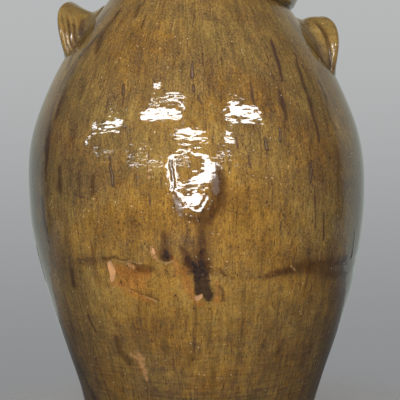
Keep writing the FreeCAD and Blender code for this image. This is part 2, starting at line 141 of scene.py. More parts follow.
def hem_height(azimuth):
    """Height of the line where the upper dip of glaze stops, by azimuth from the front."""
    degrees = np.degrees(azimuth)
    return (197.0 + 8.5 * bump(degrees, -31, 17) - 8.0 * bump(degrees, 22, 8)
            + 1.6 * waves(azimuth, 0.0, 11, (3, 19), (50, 60)))


# %% [markdown]
# ## Marks in the glaze
# Drips, stains, streaks, tears, rust and bare chips lie where the firing left them; the pale
# golden strokes along the edges of drips and dark lines are painted highlights.
# Each mark is a stroke: a short path over the wall with a half width at each point. A vertex
# takes the value 0.5 ^ ((d / w) ^ 2), where d is its distance from the path, so the value is one
# half along the mark's edge, and the shader can cut a crisp edge there or let it fade, with grain
# added. The front's marks are listed one by one, and random ones from fixed seeds cover the rest.

# %% Strokes: (degrees from the front, height, half width) along each path
MARKS = {
    "drip": [
        [(0.9, 208, 2.4), (0.6, 203, 4.6), (0.7, 196, 6.2), (0.8, 185, 6.7)],
        [(1.8, 184, 5.2), (2.5, 179, 4.8), (2.9, 175.5, 4.2)], [(-0.6, 184, 3.6), (-1, 181, 2.6)],
        [(-1.8, 207, 1.6), (-0.8, 201, 3.6)], [(-9.6, 217, 1.6), (-9.6, 213.5, 2.4)]],
    "smoke": [
        [(1.2, 218, 1.6), (1, 210, 5), (0.8, 202, 8)],
        [(-3.4, 212, 1.6), (-2.4, 207, 4.4), (-1, 202, 6)], [(-9.7, 219, 2), (-9.7, 212, 4)]],
    "stain": [
        [(1.9, 258, 1.6), (1.7, 243, 3.2), (1.4, 227, 4.2), (1, 213, 7.2), (0.8, 203, 9.2)],
        [(-5.2, 222, 1.6), (-4.4, 217, 3), (-2.8, 210, 5.2), (-1, 204, 8.4)],
        [(-10, 234, 1.6), (-9.8, 221, 5), (-9.7, 212, 6)],
        [(-31, 210, 1.6), (-25.9, 211, 1.6), (-22.5, 208, 1.4)],
        [(-23, 209, 1.6), (-18.9, 205, 2), (-14.7, 203, 2)],
        # The next stroke is a darker patch just under the hem line: painted shadow under its edge.
        [(-19, 202, 2.4), (-16.2, 200, 3.4), (-14.6, 202, 2.4)],
        [(-22.4, 182.5, 0.6), (-19.6, 180, 0.8), (-15.7, 176, 0.9), (-13.1, 173, 0.7)],
        [(6.2, 201, 1.6), (8.1, 195, 1.2)], [(6.6, 185, 1.4), (7.6, 180, 1.6), (7.7, 172, 1.8)],
        [(22, 192, 2.6), (27, 195, 3.8), (33, 198, 5.6), (38, 198, 7), (43, 196, 9.6),
         (50, 193, 11.4), (58, 190, 11.6)],
        [(-64.8, 97, 3), (-60.8, 86, 3.4), (-58.2, 71, 4), (-56.5, 60, 4)],
        [(-43, 154, 1.4), (-41.1, 138, 1.6)],
        [(34, 404, 1), (33.4, 388, 1.9), (33.2, 378, 2.1), (32.4, 366, 1.2)],
        [(44.3, 392, 1), (42.8, 377, 1.8), (42.1, 362, 2), (42.3, 338, 1.5), (42.6, 312, 1.9)],
        [(52, 368, 1.2), (52.3, 356, 2.4), (52.3, 346, 1.8)],
        [(30.3, 356, 1.2), (30.3, 344, 2.2), (30.7, 330, 1.4)],
        [(-43.2, 398, 3), (-45.6, 410, 4), (-46.4, 422, 4), (-44.1, 437, 3.2)],
        [(-53.3, 340, 4), (-54.2, 365, 4.4), (-54.6, 388, 4)],
        [(-47.8, 418, 3), (-51.5, 404, 3.6), (-55.5, 388, 3.6), (-58, 368, 3.4), (-57.8, 342, 3.6),
         (-56.2, 320, 4), (-55.4, 300, 3.6), (-55.6, 280, 2.4)],
        [(-59, 262, 4), (-57.5, 222, 4)], [(-47, 292, 2.4), (-47.2, 270, 3)],
        [(-32.4, 284, 2), (-32.8, 268, 2.6)],
        [(6, 290, 2.6), (7, 276, 6), (6.6, 262, 7), (4.6, 250, 5)], [(-2, 246, 3.4), (3, 244, 4.4)],
        [(-31.4, 136, 2.4), (-31, 122, 4.4), (-28, 112, 4)], [(-30.6, 441, 2), (-30.4, 430, 2)],
        [(-24.3, 430, 1.4), (-24.3, 418, 1.4)], [(-46, 196, 3), (-47, 182, 3.4)],
        [(-57, 442, 3), (-60, 424, 5), (-62, 402, 5), (-60, 386, 3)],
        [(58, 430, 3), (62, 410, 4), (64, 390, 4)]],
    "streak": [
        [(-23.6, 353, 1.1), (-23.1, 345, 0.7)], [(-26.6, 300, 1.2), (-26.2, 294, 1.2)],
        [(19.7, 364, 0.9), (19.8, 355, 1.3), (19.9, 344, 0.7)],
        [(34.4, 405, 1), (33.9, 396, 1.7), (33.3, 386, 2), (32.8, 374, 1.3), (32.4, 366, 0.8)],
        [(44.3, 393, 0.6), (43, 380, 0.9), (42.1, 366, 0.8)], [(42, 360, 0.6), (42.3, 348, 0.8)],
        [(42.3, 336, 0.9), (42.8, 324, 1.1), (42.2, 310, 0.7)],
        [(-53.8, 266, 0.5), (-51, 267.5, 0.7)],
        [(-40.5, 267, 0.5), (-38, 265, 0.9), (-35.8, 264, 0.7)], [(52, 369, 0.8), (52.2, 358, 1.1)],
        [(30.3, 358, 0.9), (30.3, 350, 1.1), (30.6, 334, 0.7)],
        [(42.5, 247, 0.9), (43.4, 221, 1.1)], [(-43, 153, 1), (-41.4, 140, 1.1)],
        [(1.6, 352, 0.7), (2.6, 343, 0.7)], [(38.5, 262, 0.8), (39.5, 232, 1)],
        [(26, 240, 0.7), (26.2, 228, 1)], [(-14, 268, 0.7), (-13.6, 258, 0.8)],
        [(16, 300, 0.7), (16.4, 288, 0.8)], [(12.6, 316, 0.8), (12.8, 306, 0.8)]],
    "tear": [
        [(-24.3, 364.5, 1), (-23.9, 356, 1.3)],
        [(-0.2, 384, 0.8), (-0.3, 375, 1.6), (-0.2, 370, 1.7)], [(-0.1, 362.5, 1), (0.1, 357, 0.9)],
        [(27.6, 324, 1), (27.1, 312, 1.4)], [(21.8, 314, 1.2), (22.1, 305, 1.8)],
        [(-26.5, 292, 1.3), (-25.6, 283, 1.7), (-25.2, 275, 1.3)],
        [(37.9, 294, 0.9), (37.2, 284, 1.5), (37.2, 274, 1)],
        [(-7.3, 296, 1), (-6.9, 284, 1.4), (-6.6, 272, 1)]],
    "chip": [
        [(-28.6, 205.6, 2.3), (-28.4, 201.5, 3.1), (-28.2, 197, 3.5), (-28.7, 193, 3),
         (-28.9, 191.4, 2.6)],
        [(-13.5, 219.5, 1), (-13.1, 216, 1.3)], [(-0.9, 175.6, 2.2), (0.4, 177.3, 1.8)]],
    "scar": [
        [(-26.3, 119.5, 2.2), (-23.4, 119.5, 4), (-22.6, 114.5, 4.4)],
        [(-22.3, 110, 3), (-21.6, 102, 2.2), (-21.4, 95, 1.4)],
        [(-14.2, 292, 0.6), (-13.6, 281, 0.9)], [(-22.2, 206, 1.6), (-20.6, 203, 2)],
        [(-13.9, 221, 2), (-13.2, 216, 2.6), (-12.6, 210, 2)]],
    "rust": [
        [(-27, 200, 6), (-19.8, 198, 7), (-16.2, 197, 4.4)],
        [(-28.7, 187, 3.4), (-23.8, 188, 5), (-18.6, 187, 5.3)], [(-24, 181, 2.2), (-15.7, 172, 3)],
        [(-24.6, 118, 2.4), (-22.6, 104, 2.6)],
        [(-4.4, 201, 3.2), (-3.8, 188, 4), (-2.6, 177, 3), (0.4, 170, 2.6)],
        [(-12.8, 220, 1.8), (-12.6, 213, 2)],
        [(-8.3, 213, 2.4), (-6.9, 208, 2.8), (-6.7, 199, 2.4)], [(6, 190, 2), (5.6, 172, 2.6)]],
    "cloud": [
        [(5, 284, 2), (5.8, 277, 3), (5.6, 269, 3)], [(-5.5, 262, 3.5), (-4.8, 250, 2.5)]],
    # painted highlights: pale golden glints along the edges of drips and dark lines
    "spark": [
        [(-12.1, 209, 0.7), (-9.9, 206.5, 0.9), (-7.7, 209, 0.7)],
        [(-18.6, 177.4, 0.7), (-14, 171.8, 0.8)],
        [(-11.4, 208.4, 0.7), (-9.6, 207.4, 0.9), (-7.8, 208.6, 0.7)],
        [(3.4, 196, 0.8), (3.6, 186, 0.8)], [(-26, 209, 0.7), (-17.5, 206.5, 0.8)],
        [(30, 200, 0.8), (32, 196.5, 1.2)]],
}
# How far a stroke's edges waver in millimetres, and the degrees that the front view doesn't show
SIDEWAYS_WOBBLE, UPRIGHT_WOBBLE = 0.35, 0.3
OUT_OF_SIGHT = (64, 296)


def strokes(paths, azimuth, height):
    """The highest value of 0.5 ^ ((d / w) ^ 2) over all the paths.

    d is the distance to a path's nearest segment on the unrolled wall, where a step of azimuth
    is worth the wall's radius, and w is the half width there. Waves make the edges wobble.
    """
    value = np.zeros(np.broadcast(azimuth, height).shape)
    radius = wall_radius(height)
    azimuth = azimuth + SIDEWAYS_WOBBLE / BELLY * waves(azimuth, height, 12, (10, 60), (9, 40))
    height = height + UPRIGHT_WOBBLE * waves(azimuth, 0 * height, 13, (20, 80), (50, 60))
    for path in paths:
        ends = [(radians(turn), up, half) for turn, up, half in path]
        for (t0, h0, w0), (t1, h1, w1) in zip(ends, ends[1:] or ends):
            across, along = (azimuth - t0) * radius, height - h0
            run, climb = (t1 - t0) * radius, h1 - h0
            share = np.clip((across * run + along * climb) / (run ** 2 + climb ** 2 + 1e-6), 0, 1)
            distance = np.hypot(across - share * run, along - share * climb)
            half = w0 + (w1 - w0) * share
            value = np.maximum(value, 0.5 ** ((distance / half) ** 2))
    return value


def stray_paths(seed, count, low, high, length, half):
    """Random near-upright strokes over the back and sides, which are seen from other views."""
    rng = np.random.default_rng(seed)
    paths = []
    for _ in range(count):
        turn, top = rng.uniform(*OUT_OF_SIGHT), rng.uniform(low, high)
        drop, width = rng.uniform(*length), rng.uniform(*half)
        turn = turn if turn < 180 else turn - 360
        paths.append([(turn, top, width * 0.7), (turn + rng.uniform(-1, 1), top - drop, width)])
    return paths


# Random strokes: (seed, how many, lowest and highest top, lengths, half widths)
STRAYS = {"drip": (3, 6, 208, 226, (18, 42), (1.8, 3.6)),
          "smoke": (7, 10, 226, 262, (25, 60), (2.5, 5.0)),
          "stain": (8, 16, 200, 400, (20, 60), (2.0, 5.0)),
          "streak": (4, 30, 240, 420, (10, 45), (0.6, 1.1)),
          "tear": (9, 14, 240, 400, (6, 12), (1.0, 2.0)),
          "chip": (5, 7, 90, 330, (4, 14), (1.0, 2.6)),
          "cloud": (6, 8, 120, 330, (8, 20), (2.5, 4.0))}
for sort, stray in STRAYS.items():
    MARKS[sort] += stray_paths(*stray)
print("marks:", {sort: len(paths) for sort, paths in MARKS.items()})

# %% [markdown]
# ## Broad areas
# The dip lay thinner over the lower belly, where the fire has toasted the clay to gold. Over the
# sides and back the glaze is painted darker and greener: painted shade towards the outlines, with
# the greenish tint of their sheen, and a calmer texture. Each area is a soft oval of some strength,
# and slow waves carry the same sort of change round to the back.

# %% Tone and warmth: (degrees, height, half angle, half height, strength)
# Rows at about 62 degrees either side darken the glaze towards the outlines: painted shade.
TONES = [(-6, 176, 34, 26, 0.20), (20, 240, 14, 30, 0.12), (-18, 208, 16, 16, 0.08),
         (36, 318, 16, 54, -0.10), (-36, 308, 11, 46, -0.12), (62, 262, 12, 60, -0.04),
         (0, 385, 70, 30, -0.06), (35, 212, 22, 12, -0.10), (-47, 190, 6, 26, -0.16),
         (-62, 205, 12, 40, -0.06), (-61, 300, 7, 75, -0.10), (3, 330, 10, 40, 0.08),
         (0, 70, 60, 34, -0.08), (62, 195, 8, 20, -0.16), (0, 262, 9, 38, -0.12),
         (-17, 390, 12, 30, -0.09), (23, 350, 13, 24, -0.10), (42, 298, 8, 34, -0.08),
         (20, 195, 9, 10, -0.08), (-47, 132, 8, 30, -0.12), (-41, 276, 8, 18, -0.13),
         (2, 98, 22, 22, 0.09), (-5, 192, 4, 14, 0.06), (-37, 206, 7, 3.5, -0.18),
         (-5, 228, 5, 10, -0.08)]
WARMTHS = [(-4, 196, 30, 40, 0.80), (12, 258, 24, 38, 1.00), (-18, 244, 20, 24, 0.50),
           (0, 330, 24, 30, 0.20), (-22, 196, 12, 12, 0.60), (0, 120, 90, 80, 0.30),
           (-41, 276, 9, 20, -0.60), (-50, 205, 18, 30, -0.40)]
SIDE_SHADE_START, SIDE_SHADE_BLEND = 38, 34


def ovals(rows, degrees, height):
    """Sum of soft ovals: strength * bump over the angle * bump over the height for each row."""
    return sum(strength * bump(degrees, turn, half_turn) * bump(height, middle, half_height)
               for turn, middle, half_turn, half_height, strength in rows)


def areas(azimuth, height):
    """How much lighter, warmer and livelier the glaze is at a place, with painted shade, a greener
    tint and a calmer texture towards the sides.
    """
    degrees = np.degrees(azimuth)
    # past the side-shade start angle the sides get painted shade: darker, greener and with calmer
    # texture
    side = np.clip((np.abs(degrees) - SIDE_SHADE_START) / SIDE_SHADE_BLEND, 0, 1) ** 1.5
    slow = 0.05 * waves(azimuth, height, 14, (1, 5), (90, 260)) * side
    quick = 0.25 * waves(azimuth, height, 15, (2, 9), (60, 200))
    return {"tone": slow - 0.24 * side + ovals(TONES, degrees, height),
            "warmth": quick - 0.9 * side + ovals(WARMTHS, degrees, height),
            "life": 1 - 0.5 * side}


# %% [markdown]
# ## Relief of the outer skin
# The relief is what the light plays on: slow dents, faint throwing rings, broad upright ribs
# where the glaze ran, a ridge where the two sections were joined, drips that stand proud and
# chips and tears that are sunk. A slope of one degree already bends a reflection, so most of
# these are only hundredths of a millimetre high.

# %% Relief
# Waves of the skin: (height in mm, seed, fewest and most turns, shortest and longest wave)
SKIN_WAVES = {"dents": (0.12, 21, (1, 4), (90, 260)), "rings": (0.016, 22, (0, 6), (9, 19)),
              "ribs": (0.035, 23, (14, 40), (110, 420))}
# Slow swells and hollows: (degrees, height, half angle, half height, how far out in mm)
SWELLS = [(84, 186, 34, 15, -1.6), (84, 142, 40, 38, 1.9), (-80, 318, 40, 30, 1.5),
          (82, 322, 40, 32, 1.6), (-86, 75, 40, 30, -0.8), (84, 242, 40, 26, 0.8),
          (-84, 238, 40, 24, 0.7), (84, 112, 34, 26, 0.9), (-84, 140, 34, 20, 0.8),
          (86, 285, 40, 26, 0.7), (-86, 285, 40, 26, 0.5), (-86, 46, 40, 16, 1.4),
          (-68, 408, 12, 26, 1.8), (68, 392, 12, 26, 1.4)]
# Marks with a height or depth of their own: (height in mm, steepness of the edge, where it starts)
RAISED = {"drip": (0.5, 2, 0.7), "chip": (-0.45, 4, 1.6), "tear": (-0.2, 4, 1.4)}


def relief(azimuth, height):
    """Height of the skin over the smooth profile: the sum of each sort of unevenness."""
    degrees = np.degrees(azimuth)
    skin = sum(size * waves(azimuth, height, *wave) for size, *wave in SKIN_WAVES.values())
    hem = hem_height(azimuth)
    rough = 1 + 0.5 * waves(azimuth, height, 24, (6, 22), (12, 30))
    side = 0.12 + 0.35 * bump(degrees, 78, 34)
    ridge = side * rough * (0.8 * bump(height, hem - 9, 7) - 0.5 * bump(height, hem - 1, 4))
    raised = sum(size * np.clip(strokes(MARKS[sort], azimuth, height) * steep - start, 0, 1)
                 for sort, (size, steep, start) in RAISED.items())
    lumps = (0.030 * waves(azimuth, height, 25, (110, 230), (6, 14), 40)
             * bump(degrees, 0, 10) * bump(height, 256, 15))
    return skin + ovals(SWELLS, degrees, height) + ridge + lumps + raised


def marks(azimuth, height):
    """The layers that the glaze's shader reads, one value for each vertex."""
    layers = {sort: strokes(paths, azimuth, height) for sort, paths in MARKS.items()}
    return {**layers, **areas(azimuth, height), "hem": height - hem_height(azimuth)}


NO_MARKS = {**dict.fromkeys(MARKS, 0.0), "tone": 0.0, "warmth": 0.0, "life": 1.0, "hem": 99.0}

# %% [markdown]
# ## From grids to meshes
# Each piece is a grid of points: rows along the profile, columns round the jar. Neighbours in the
# grid share a four-sided face. Where a surface ends on the axis, a fan of triangles closes it on
# one point, and where the profile is a loop, its last row joins its first.

# %% Mesh helpers
SHARP_DEGREES = 38.0


def add_object(name, data):
    """Puts a mesh, lamp or camera into the scene."""
    made = bpy.data.objects.new(name, data)
    bpy.context.scene.collection.objects.link(made)
    return made


def side_by_side(*parts):
    """Numbers or arrays, spread to one shape and stacked along a new last axis."""
    return np.stack(np.broadcast_arrays(*parts), -1)


def grid_faces(rows, columns, loop=False):
    """Quads between neighbouring rows and columns; columns close on themselves."""
    starts = np.arange(rows if loop else rows - 1)[:, None]
    step = np.arange(columns)[None, :]
    after = (step + 1) % columns
    above = (starts + 1) % rows
    return side_by_side(starts * columns + step, starts * columns + after,
                        above * columns + after, above * columns + step).reshape(-1, 4)


def make_piece(name, points, loop=False, poles=(), layers=None, sharp_degrees=SHARP_DEGREES):
    """A closed mesh from points[row, column, xyz] in millimetres.

    poles holds the two end points that fans close on, when the rows don't form a loop.
    """
    rows, columns, _ = points.shape
    vertices = points.reshape(-1, 3)
    faces = grid_faces(rows, columns, loop=loop).tolist()
    if len(poles):
        near, far = len(vertices), len(vertices) + 1
        here = np.arange(columns)
        after = (here + 1) % columns
        last = (rows - 1) * columns
        faces += side_by_side(near, after, here).tolist()
        faces += side_by_side(last + here, last + after, far).tolist()
        vertices = np.vstack([vertices, poles])
    mesh = bpy.data.meshes.new(name)
    mesh.from_pydata((vertices * MM).tolist(), [], faces)
    mesh.polygons.foreach_set("use_smooth", np.ones(len(mesh.polygons), bool))
    mesh.set_sharp_from_angle(angle=radians(sharp_degrees))
    for layer, values in (layers or {}).items():
        spread = np.broadcast_to(values, (rows, columns)).ravel()
        spread = np.concatenate([spread, spread[:1], spread[-1:]]) if len(poles) else spread
        attribute = mesh.attributes.new(layer, "FLOAT", "POINT")
        attribute.data.foreach_set("value", spread.astype(np.float32))
    mesh.validate()
    mesh.update()
    print(f"{name}: {len(mesh.vertices)} vertices, {len(mesh.polygons)} faces")
    return add_object(name, mesh)


def stack_layers(parts):
    """Joins lists of layers, given as (rows, layers) pairs, into one set for a whole piece."""
    names = parts[0][1].keys()
    return {name: np.vstack([np.broadcast_to(layers[name], (rows, COLUMNS))
                             for rows, layers in parts]) for name in names}


def turned(radius, height):
    """Points of a turned surface: x = r cos a + lean(z), y = r sin a, z, by row and column."""
    return side_by_side(radius * np.cos(ANGLES) + lean(height), radius * np.sin(ANGLES), height)


# %% [markdown]
# ## Lower section
# The potter threw this as a wide bowl with a thick floor. Its skin runs from the middle of the
# underside round the foot and up to the join, and comes back down inside to the middle of the
# floor. Inside, a finger left one spiral groove, which a cosine of the angle plus the height
# gives: it climbs one pitch in each turn.

# %% Lower wall
FOOT_ROUND, FLOOR_CORNER = 2.5, 16.0
UNDERSIDE_ROWS, FOOT_ROWS, LOWER_ROWS, INSIDE_ROWS = 8, 6, 124, 26
SPIRAL_PITCH, SPIRAL_DEPTH = 15.0, 0.5
# The finger marks inside fade out below and above these heights
SMOOTH_BELOW, SMOOTH_ABOVE = 34, 440


def finger_spiral(height):
    """Depth of the potter's finger marks inside: cos(angle - 2 pi height / pitch)."""
    return SPIRAL_DEPTH * np.cos(ANGLES - 2 * pi * height / SPIRAL_PITCH)


def lower_skin():
    """Rows of the lower section and its layers, from under the foot to the floor inside."""
    rest = FOOT - FOOT_ROUND
    out = np.linspace(0.12, 1.0, UNDERSIDE_ROWS)[:, None] * rest
    hollow = 1.0 * np.clip(1 - (out / (rest - 6)) ** 2, 0, 1)
    bend = np.linspace(0, pi / 2, FOOT_ROWS + 1)[1:, None]
    foot = turned(rest + FOOT_ROUND * np.sin(bend), FOOT_ROUND * (1 - np.cos(bend)))
    up = SEAM_HEIGHT - (SEAM_HEIGHT - FOOT_ROUND) * np.linspace(1, 0, LOWER_ROWS)[1:, None] ** 1.3
    fade = np.clip((up - FOOT_ROUND) / 12, 0, 1)
    wall = turned(wall_radius(up) + fade * relief(from_front, up), up)
    down = np.linspace(SEAM_HEIGHT, FLOOR + FLOOR_CORNER, INSIDE_ROWS)[:, None]
    fade_in = np.clip((SEAM_HEIGHT - down) / 10, 0, 1) * np.clip((down - SMOOTH_BELOW) / 20, 0, 1)
    inside = turned(wall_radius(down, WALL) + fade_in * finger_spiral(down), down)
    corner = np.linspace(0, pi / 2, 9)[1:, None]
    edge = wall_radius(FLOOR + FLOOR_CORNER, WALL)
    turn_in = turned(edge - FLOOR_CORNER * (1 - np.cos(corner)),
                     FLOOR + FLOOR_CORNER * (1 - np.sin(corner)))
    floor_out = np.linspace(1, 0.12, 7)[1:, None] * (edge - FLOOR_CORNER)
    floor = turned(floor_out, np.full_like(floor_out, FLOOR))
    points = np.concatenate([turned(out, hollow), foot, wall, inside, turn_in, floor])
    layers = stack_layers([(len(out) + len(foot), NO_MARKS), (len(wall), marks(from_front, up)),
                           (len(inside) + len(turn_in) + len(floor), NO_MARKS)])
    return points, layers


lower_points, lower_layers = lower_skin()
lower_wall = make_piece("lower_wall_skin", lower_points, layers=lower_layers,
                        poles=[(lean(0), 0, 1.0), (lean(0), 0, FLOOR)])

# %% [markdown]
# ## Upper section
# The upper section runs from the join over the belly and shoulder to the neck, which was cut off
# a little aslant. On the straight shoulder the cut's height has a simple form: a plane of slope t
# meets a cone of slope s at a depth d = n c t / (1 - s c t) under the seat, where n is the neck's
# radius and c the cosine of the angle.

# %% Upper wall
RIM_TILT = radians(4.2)
UPPER_ROWS, INNER_ROWS = 148, 30


def seat_height(radius, slope):
    """Height of the aslant cut on a cone of that radius at the seat and that slope."""
    tilt = np.cos(ANGLES) * tan(RIM_TILT)
    return SEAT_HEIGHT - radius * tilt / (1 - slope * tilt)


def upper_skin():
    """Rows up the outside to the cut, and down the inside to the join."""
    rise = np.linspace(0, 1, UPPER_ROWS)[:, None] ** 1.25
    up = SEAM_HEIGHT + (seat_height(NECK, SHOULDER) - SEAM_HEIGHT) * rise
    wall = turned(wall_radius(up) + relief(from_front, up), up)
    throat = NECK - WALL * sqrt(1 + SHOULDER ** 2)
    fall = np.linspace(1, 0, INNER_ROWS)[:, None]
    down = SEAM_HEIGHT + (seat_height(throat, SHOULDER) - SEAM_HEIGHT) * fall
    fade = np.clip((down - SEAM_HEIGHT) / 10, 0, 1) * np.clip((SMOOTH_ABOVE - down) / 30, 0, 1)
    inside = turned(wall_radius(down, WALL) + fade * finger_spiral(down), down)
    layers = stack_layers([(UPPER_ROWS, marks(from_front, up)), (INNER_ROWS, NO_MARKS)])
    return np.concatenate([wall, inside]), layers


upper_points, upper_layers = upper_skin()
upper_wall = make_piece("upper_wall_skin", upper_points, loop=True, layers=upper_layers)

# %% [markdown]
# ## Smooth closed sections
# The rim and the handles have soft sections that no formula names. A few given points are
# enough when a Catmull-Rom curve runs through them: between two points it is a cubic whose slope
# at each is half the step from the neighbour before to the neighbour after.

# %% Catmull-Rom loop


def smooth_loop(points, count):
    """A closed Catmull-Rom curve through the points, sampled evenly in its own parameter."""
    points = np.asarray(points, float)
    place = np.linspace(0, len(points), count, endpoint=False)
    index = place.astype(int)
    t = (place - index)[:, None]
    before, here, after, beyond = (points[(index + k) % len(points)] for k in (-1, 0, 1, 2))
    return 0.5 * (2 * here + (after - before) * t
                  + (2 * before - 5 * here + 4 * after - beyond) * t ** 2
                  + (3 * here - before - 3 * after + beyond) * t ** 3)


# %% [markdown]
# ## Rim collar
# A fat coil was laid on the cut neck, opened outwards and rolled over. It overhangs the neck by a
# small ledge. Its section is a loop of points (distance from its axis, height over the seat), and
# the whole ring leans to the right with the cut.

# %% Rim collar
RIM_SECTION = [(79.4, 0), (85, 0), (91.2, 0), (95.2, 2.2), (97.4, 6), (99.4, 11),
               (101.2, 16), (102.6, 21), (102.6, 25), (100.6, 27.4), (97, 28),
               (93.4, 27.6), (89.2, 25), (87, 20.4), (85, 14), (82.4, 7)]
RIM_MIDDLE, RIM_ROWS = 93, 96


def rim_skin():
    """The rolled section carried round its axis, then tilted and set on the neck."""
    section = smooth_loop(RIM_SECTION, RIM_ROWS)
    radius, up = section[:, :1], section[:, 1:]
    free = np.clip(up / 8, 0, 1)
    swell = free * (0.5 * waves(ANGLES, up, 31, (1, 5), (60, 120))
                    + 0.12 * waves(ANGLES, up, 32, (6, 24), (20, 60)))
    radius = radius + swell * np.sign(radius - RIM_MIDDLE)
    up = up + 0.5 * swell
    shift = NECK * tan(RIM_TILT) * SHOULDER
    x = radius * np.cos(ANGLES) * cos(RIM_TILT) + up * sin(RIM_TILT) + shift + lean(SEAT_HEIGHT)
    z = (SEAT_HEIGHT - shift * tan(RIM_TILT) - radius * np.cos(ANGLES) * sin(RIM_TILT)
         + up * cos(RIM_TILT))
    return side_by_side(x, radius * np.sin(ANGLES), z)[::-1]


rim_collar = make_piece("rim_collar_skin", rim_skin(), loop=True, sharp_degrees=70.0,
                        layers=NO_MARKS)

# %% [markdown]
# ## Lug handles
# Each handle is a thick slab bent into an arch over the finger space and pressed to the shoulder
# at both ends. The arch is an ellipse on the shoulder: at a station t, the sine of t gives the
# place round the jar and the cosine the height. The section is drawn square to the arch: it
# reaches from inside the wall to a rounded lip. Past the last station the clay is smeared down
# the wall and dies away. Where the slab meets the wall it swells into a fillet, as glaze and slip
# do in a corner.

# %% Handle sizes
HANDLE_SPAN = 84.0
STOCK, END_STOCK, SINK = 8.5, 3.8, 9.0
STATIONS, AROUND = 190, 120
SMEAR, HALF_ARCH = 16.0, 70.0
FILLET, FILLET_REACH = 8.5, 12.0
FOLD_GROWTH = 4

LEFT = {"side": -1, "tip_rise": 132.3, "root_rise": 170.6, "lip_lift": 11.8, "tip_stand": -0.6,
        "draw": 9.6, "bulge": 9.2, "curl": 1.5, "trough": 1.2, "pool_and_fold_shade": 0.40,
        "folds": [(30, 0.98, 0.80, 1.2, 0.04), (34, 0.84, 0.66, 1.8, 0.04),
                  (38, 0.68, 0.54, 1.8, 0.04), (30, 0.48, 0.43, 2.2, 0.055),
                  (44, 0.26, 0.34, 1.6, 0.05)]}
RIGHT = {"side": 1, "tip_rise": 116.5, "root_rise": 156.6, "lip_lift": 7.9, "tip_stand": 1.2,
         "draw": 17.0, "bulge": 10.6, "curl": 1.0, "trough": -1.6, "pool_and_fold_shade": 0.18,
         "folds": [(14, 0.44, 0.78, 3.6, 0.05), (36, 0.24, 0.52, 2.0, 0.05)]}


def fold_depth(folds, station, across):
    """Thumb folds on the outer face: grooves that start at an angle and run to the tip.

    A fold is (start in degrees, place across at its start, place at the tip, depth, half width).
    """
    depth = 0.0
    for start, first, last, deep, half in folds:
        run = np.clip((np.abs(station) - start) / (90 - start), 0, 1)
        place = first + (last - first) * np.sqrt(run)
        grow = np.clip(run * FOLD_GROWTH, 0, 1)
        depth = depth + deep * grow * bump(across, place, half)
    return depth


def handle_skin(size):
    """Points of a handle, square to its arch, how far each lies down a fold, and how close each
    is to the wall, from 0 to 1."""
    reach = 1 + SMEAR / HALF_ARCH
    span = np.linspace(-reach, reach, STATIONS)[:, None]
    station = np.clip(span, -1, 1) * 90
    past = np.clip((np.abs(span) - 1) / (reach - 1), 0, 1)
    rise, run = np.cos(np.radians(station)), np.sin(np.radians(station))
    middle = size["tip_rise"] + (size["root_rise"] - size["tip_rise"]) * rise - SMEAR * past
    tip_radius = wall_radius(BELLY_HEIGHT + size["tip_rise"])
    settle = wall_radius(BELLY_HEIGHT + size["tip_rise"] - SMEAR * past) - tip_radius
    back = wall_radius(BELLY_HEIGHT + middle) - SINK
    front = (tip_radius + size["tip_stand"] - size["draw"] * rise
             + size["bulge"] * 2 * rise * np.abs(run)) + settle
    front = front - SINK * 0.8 * past
    stock = (END_STOCK + (STOCK - END_STOCK) * rise) * (1 - past) ** 0.7
    loop = np.linspace(0, 2 * pi, AROUND, endpoint=False)[None, :]
    across = (1 - np.cos(loop)) / 2
    upper = np.clip(np.sin(loop), 0, None)
    fold = fold_depth(size["folds"], station, across) * np.sqrt(upper) * (1 - past)
    half = stock * np.sign(np.sin(loop)) * np.abs(np.sin(loop)) ** 0.6 - fold
    uneven = waves(loop, span * 60, 41 + size["side"], (1, 3), (24, 60))
    distance = back - stock + (front - back + 2 * stock) * across
    share = np.clip((distance - back) / (front - back), 0, 1.15)
    curl = rise * (size["lip_lift"] * share ** size["curl"]
                   - size["trough"] * np.sin(pi * np.clip(share, 0, 1)))
    outward = half + curl + 0.3 * uneven * across
    azimuth = HANDLE_SPAN / 2 / tip_radius * run
    proud = distance - wall_radius(BELLY_HEIGHT + middle + outward * rise)
    near = np.clip(1 - proud / FILLET_REACH, 0, 1)
    outward = outward + FILLET * near ** 3 * np.sign(np.sin(loop)) * (1 - past)
    height = BELLY_HEIGHT + middle + outward * rise
    x = distance * np.cos(azimuth) - outward * run * np.sin(azimuth)
    y = -(distance * np.sin(azimuth) + outward * run * np.cos(azimuth))
    settled = (wall_radius(height) + np.maximum(proud, -4.0)) / np.hypot(x, y) - 1
    pull = 1 + settled * near ** 2 * (3 - 2 * near)
    points = side_by_side(size["side"] * x * pull, y * pull, height)
    if size["side"] > 0:
        return points, fold, near
    return points[:, ::-1], fold[:, ::-1], near[:, ::-1]


def make_handle(name, size):
    """The handle's mesh. Its folds are darker, partly glaze pooled there and partly painted shade
    in the creases, and along the wall it is painted darker, cooler and greyer, as painted shade in
    the corner with the wall's grey sheen; the glaze ran thin off the ridges between."""
    points, fold, near = handle_skin(size)
    ends = [points[0].mean(0), points[-1].mean(0)]
    fold, near = fold[1:-1], near[1:-1]
    # stain in the folds: partly pooled glaze, partly painted shade; cloud, tone and warmth near the
    # wall: painted shade and grey sheen in the corner
    layers = {**NO_MARKS, "stain": 1.4 * size["pool_and_fold_shade"] * fold, "cloud": 0.25 + 0.3 * near,
              "tone": 0.09 - 0.05 * fold - 0.22 * near, "warmth": -0.1 - 0.7 * near}
    return make_piece(name, points[1:-1], poles=ends, sharp_degrees=75.0, layers=layers)


left_handle = make_handle("left_handle_skin", LEFT)
right_handle = make_handle("right_handle_skin", RIGHT)

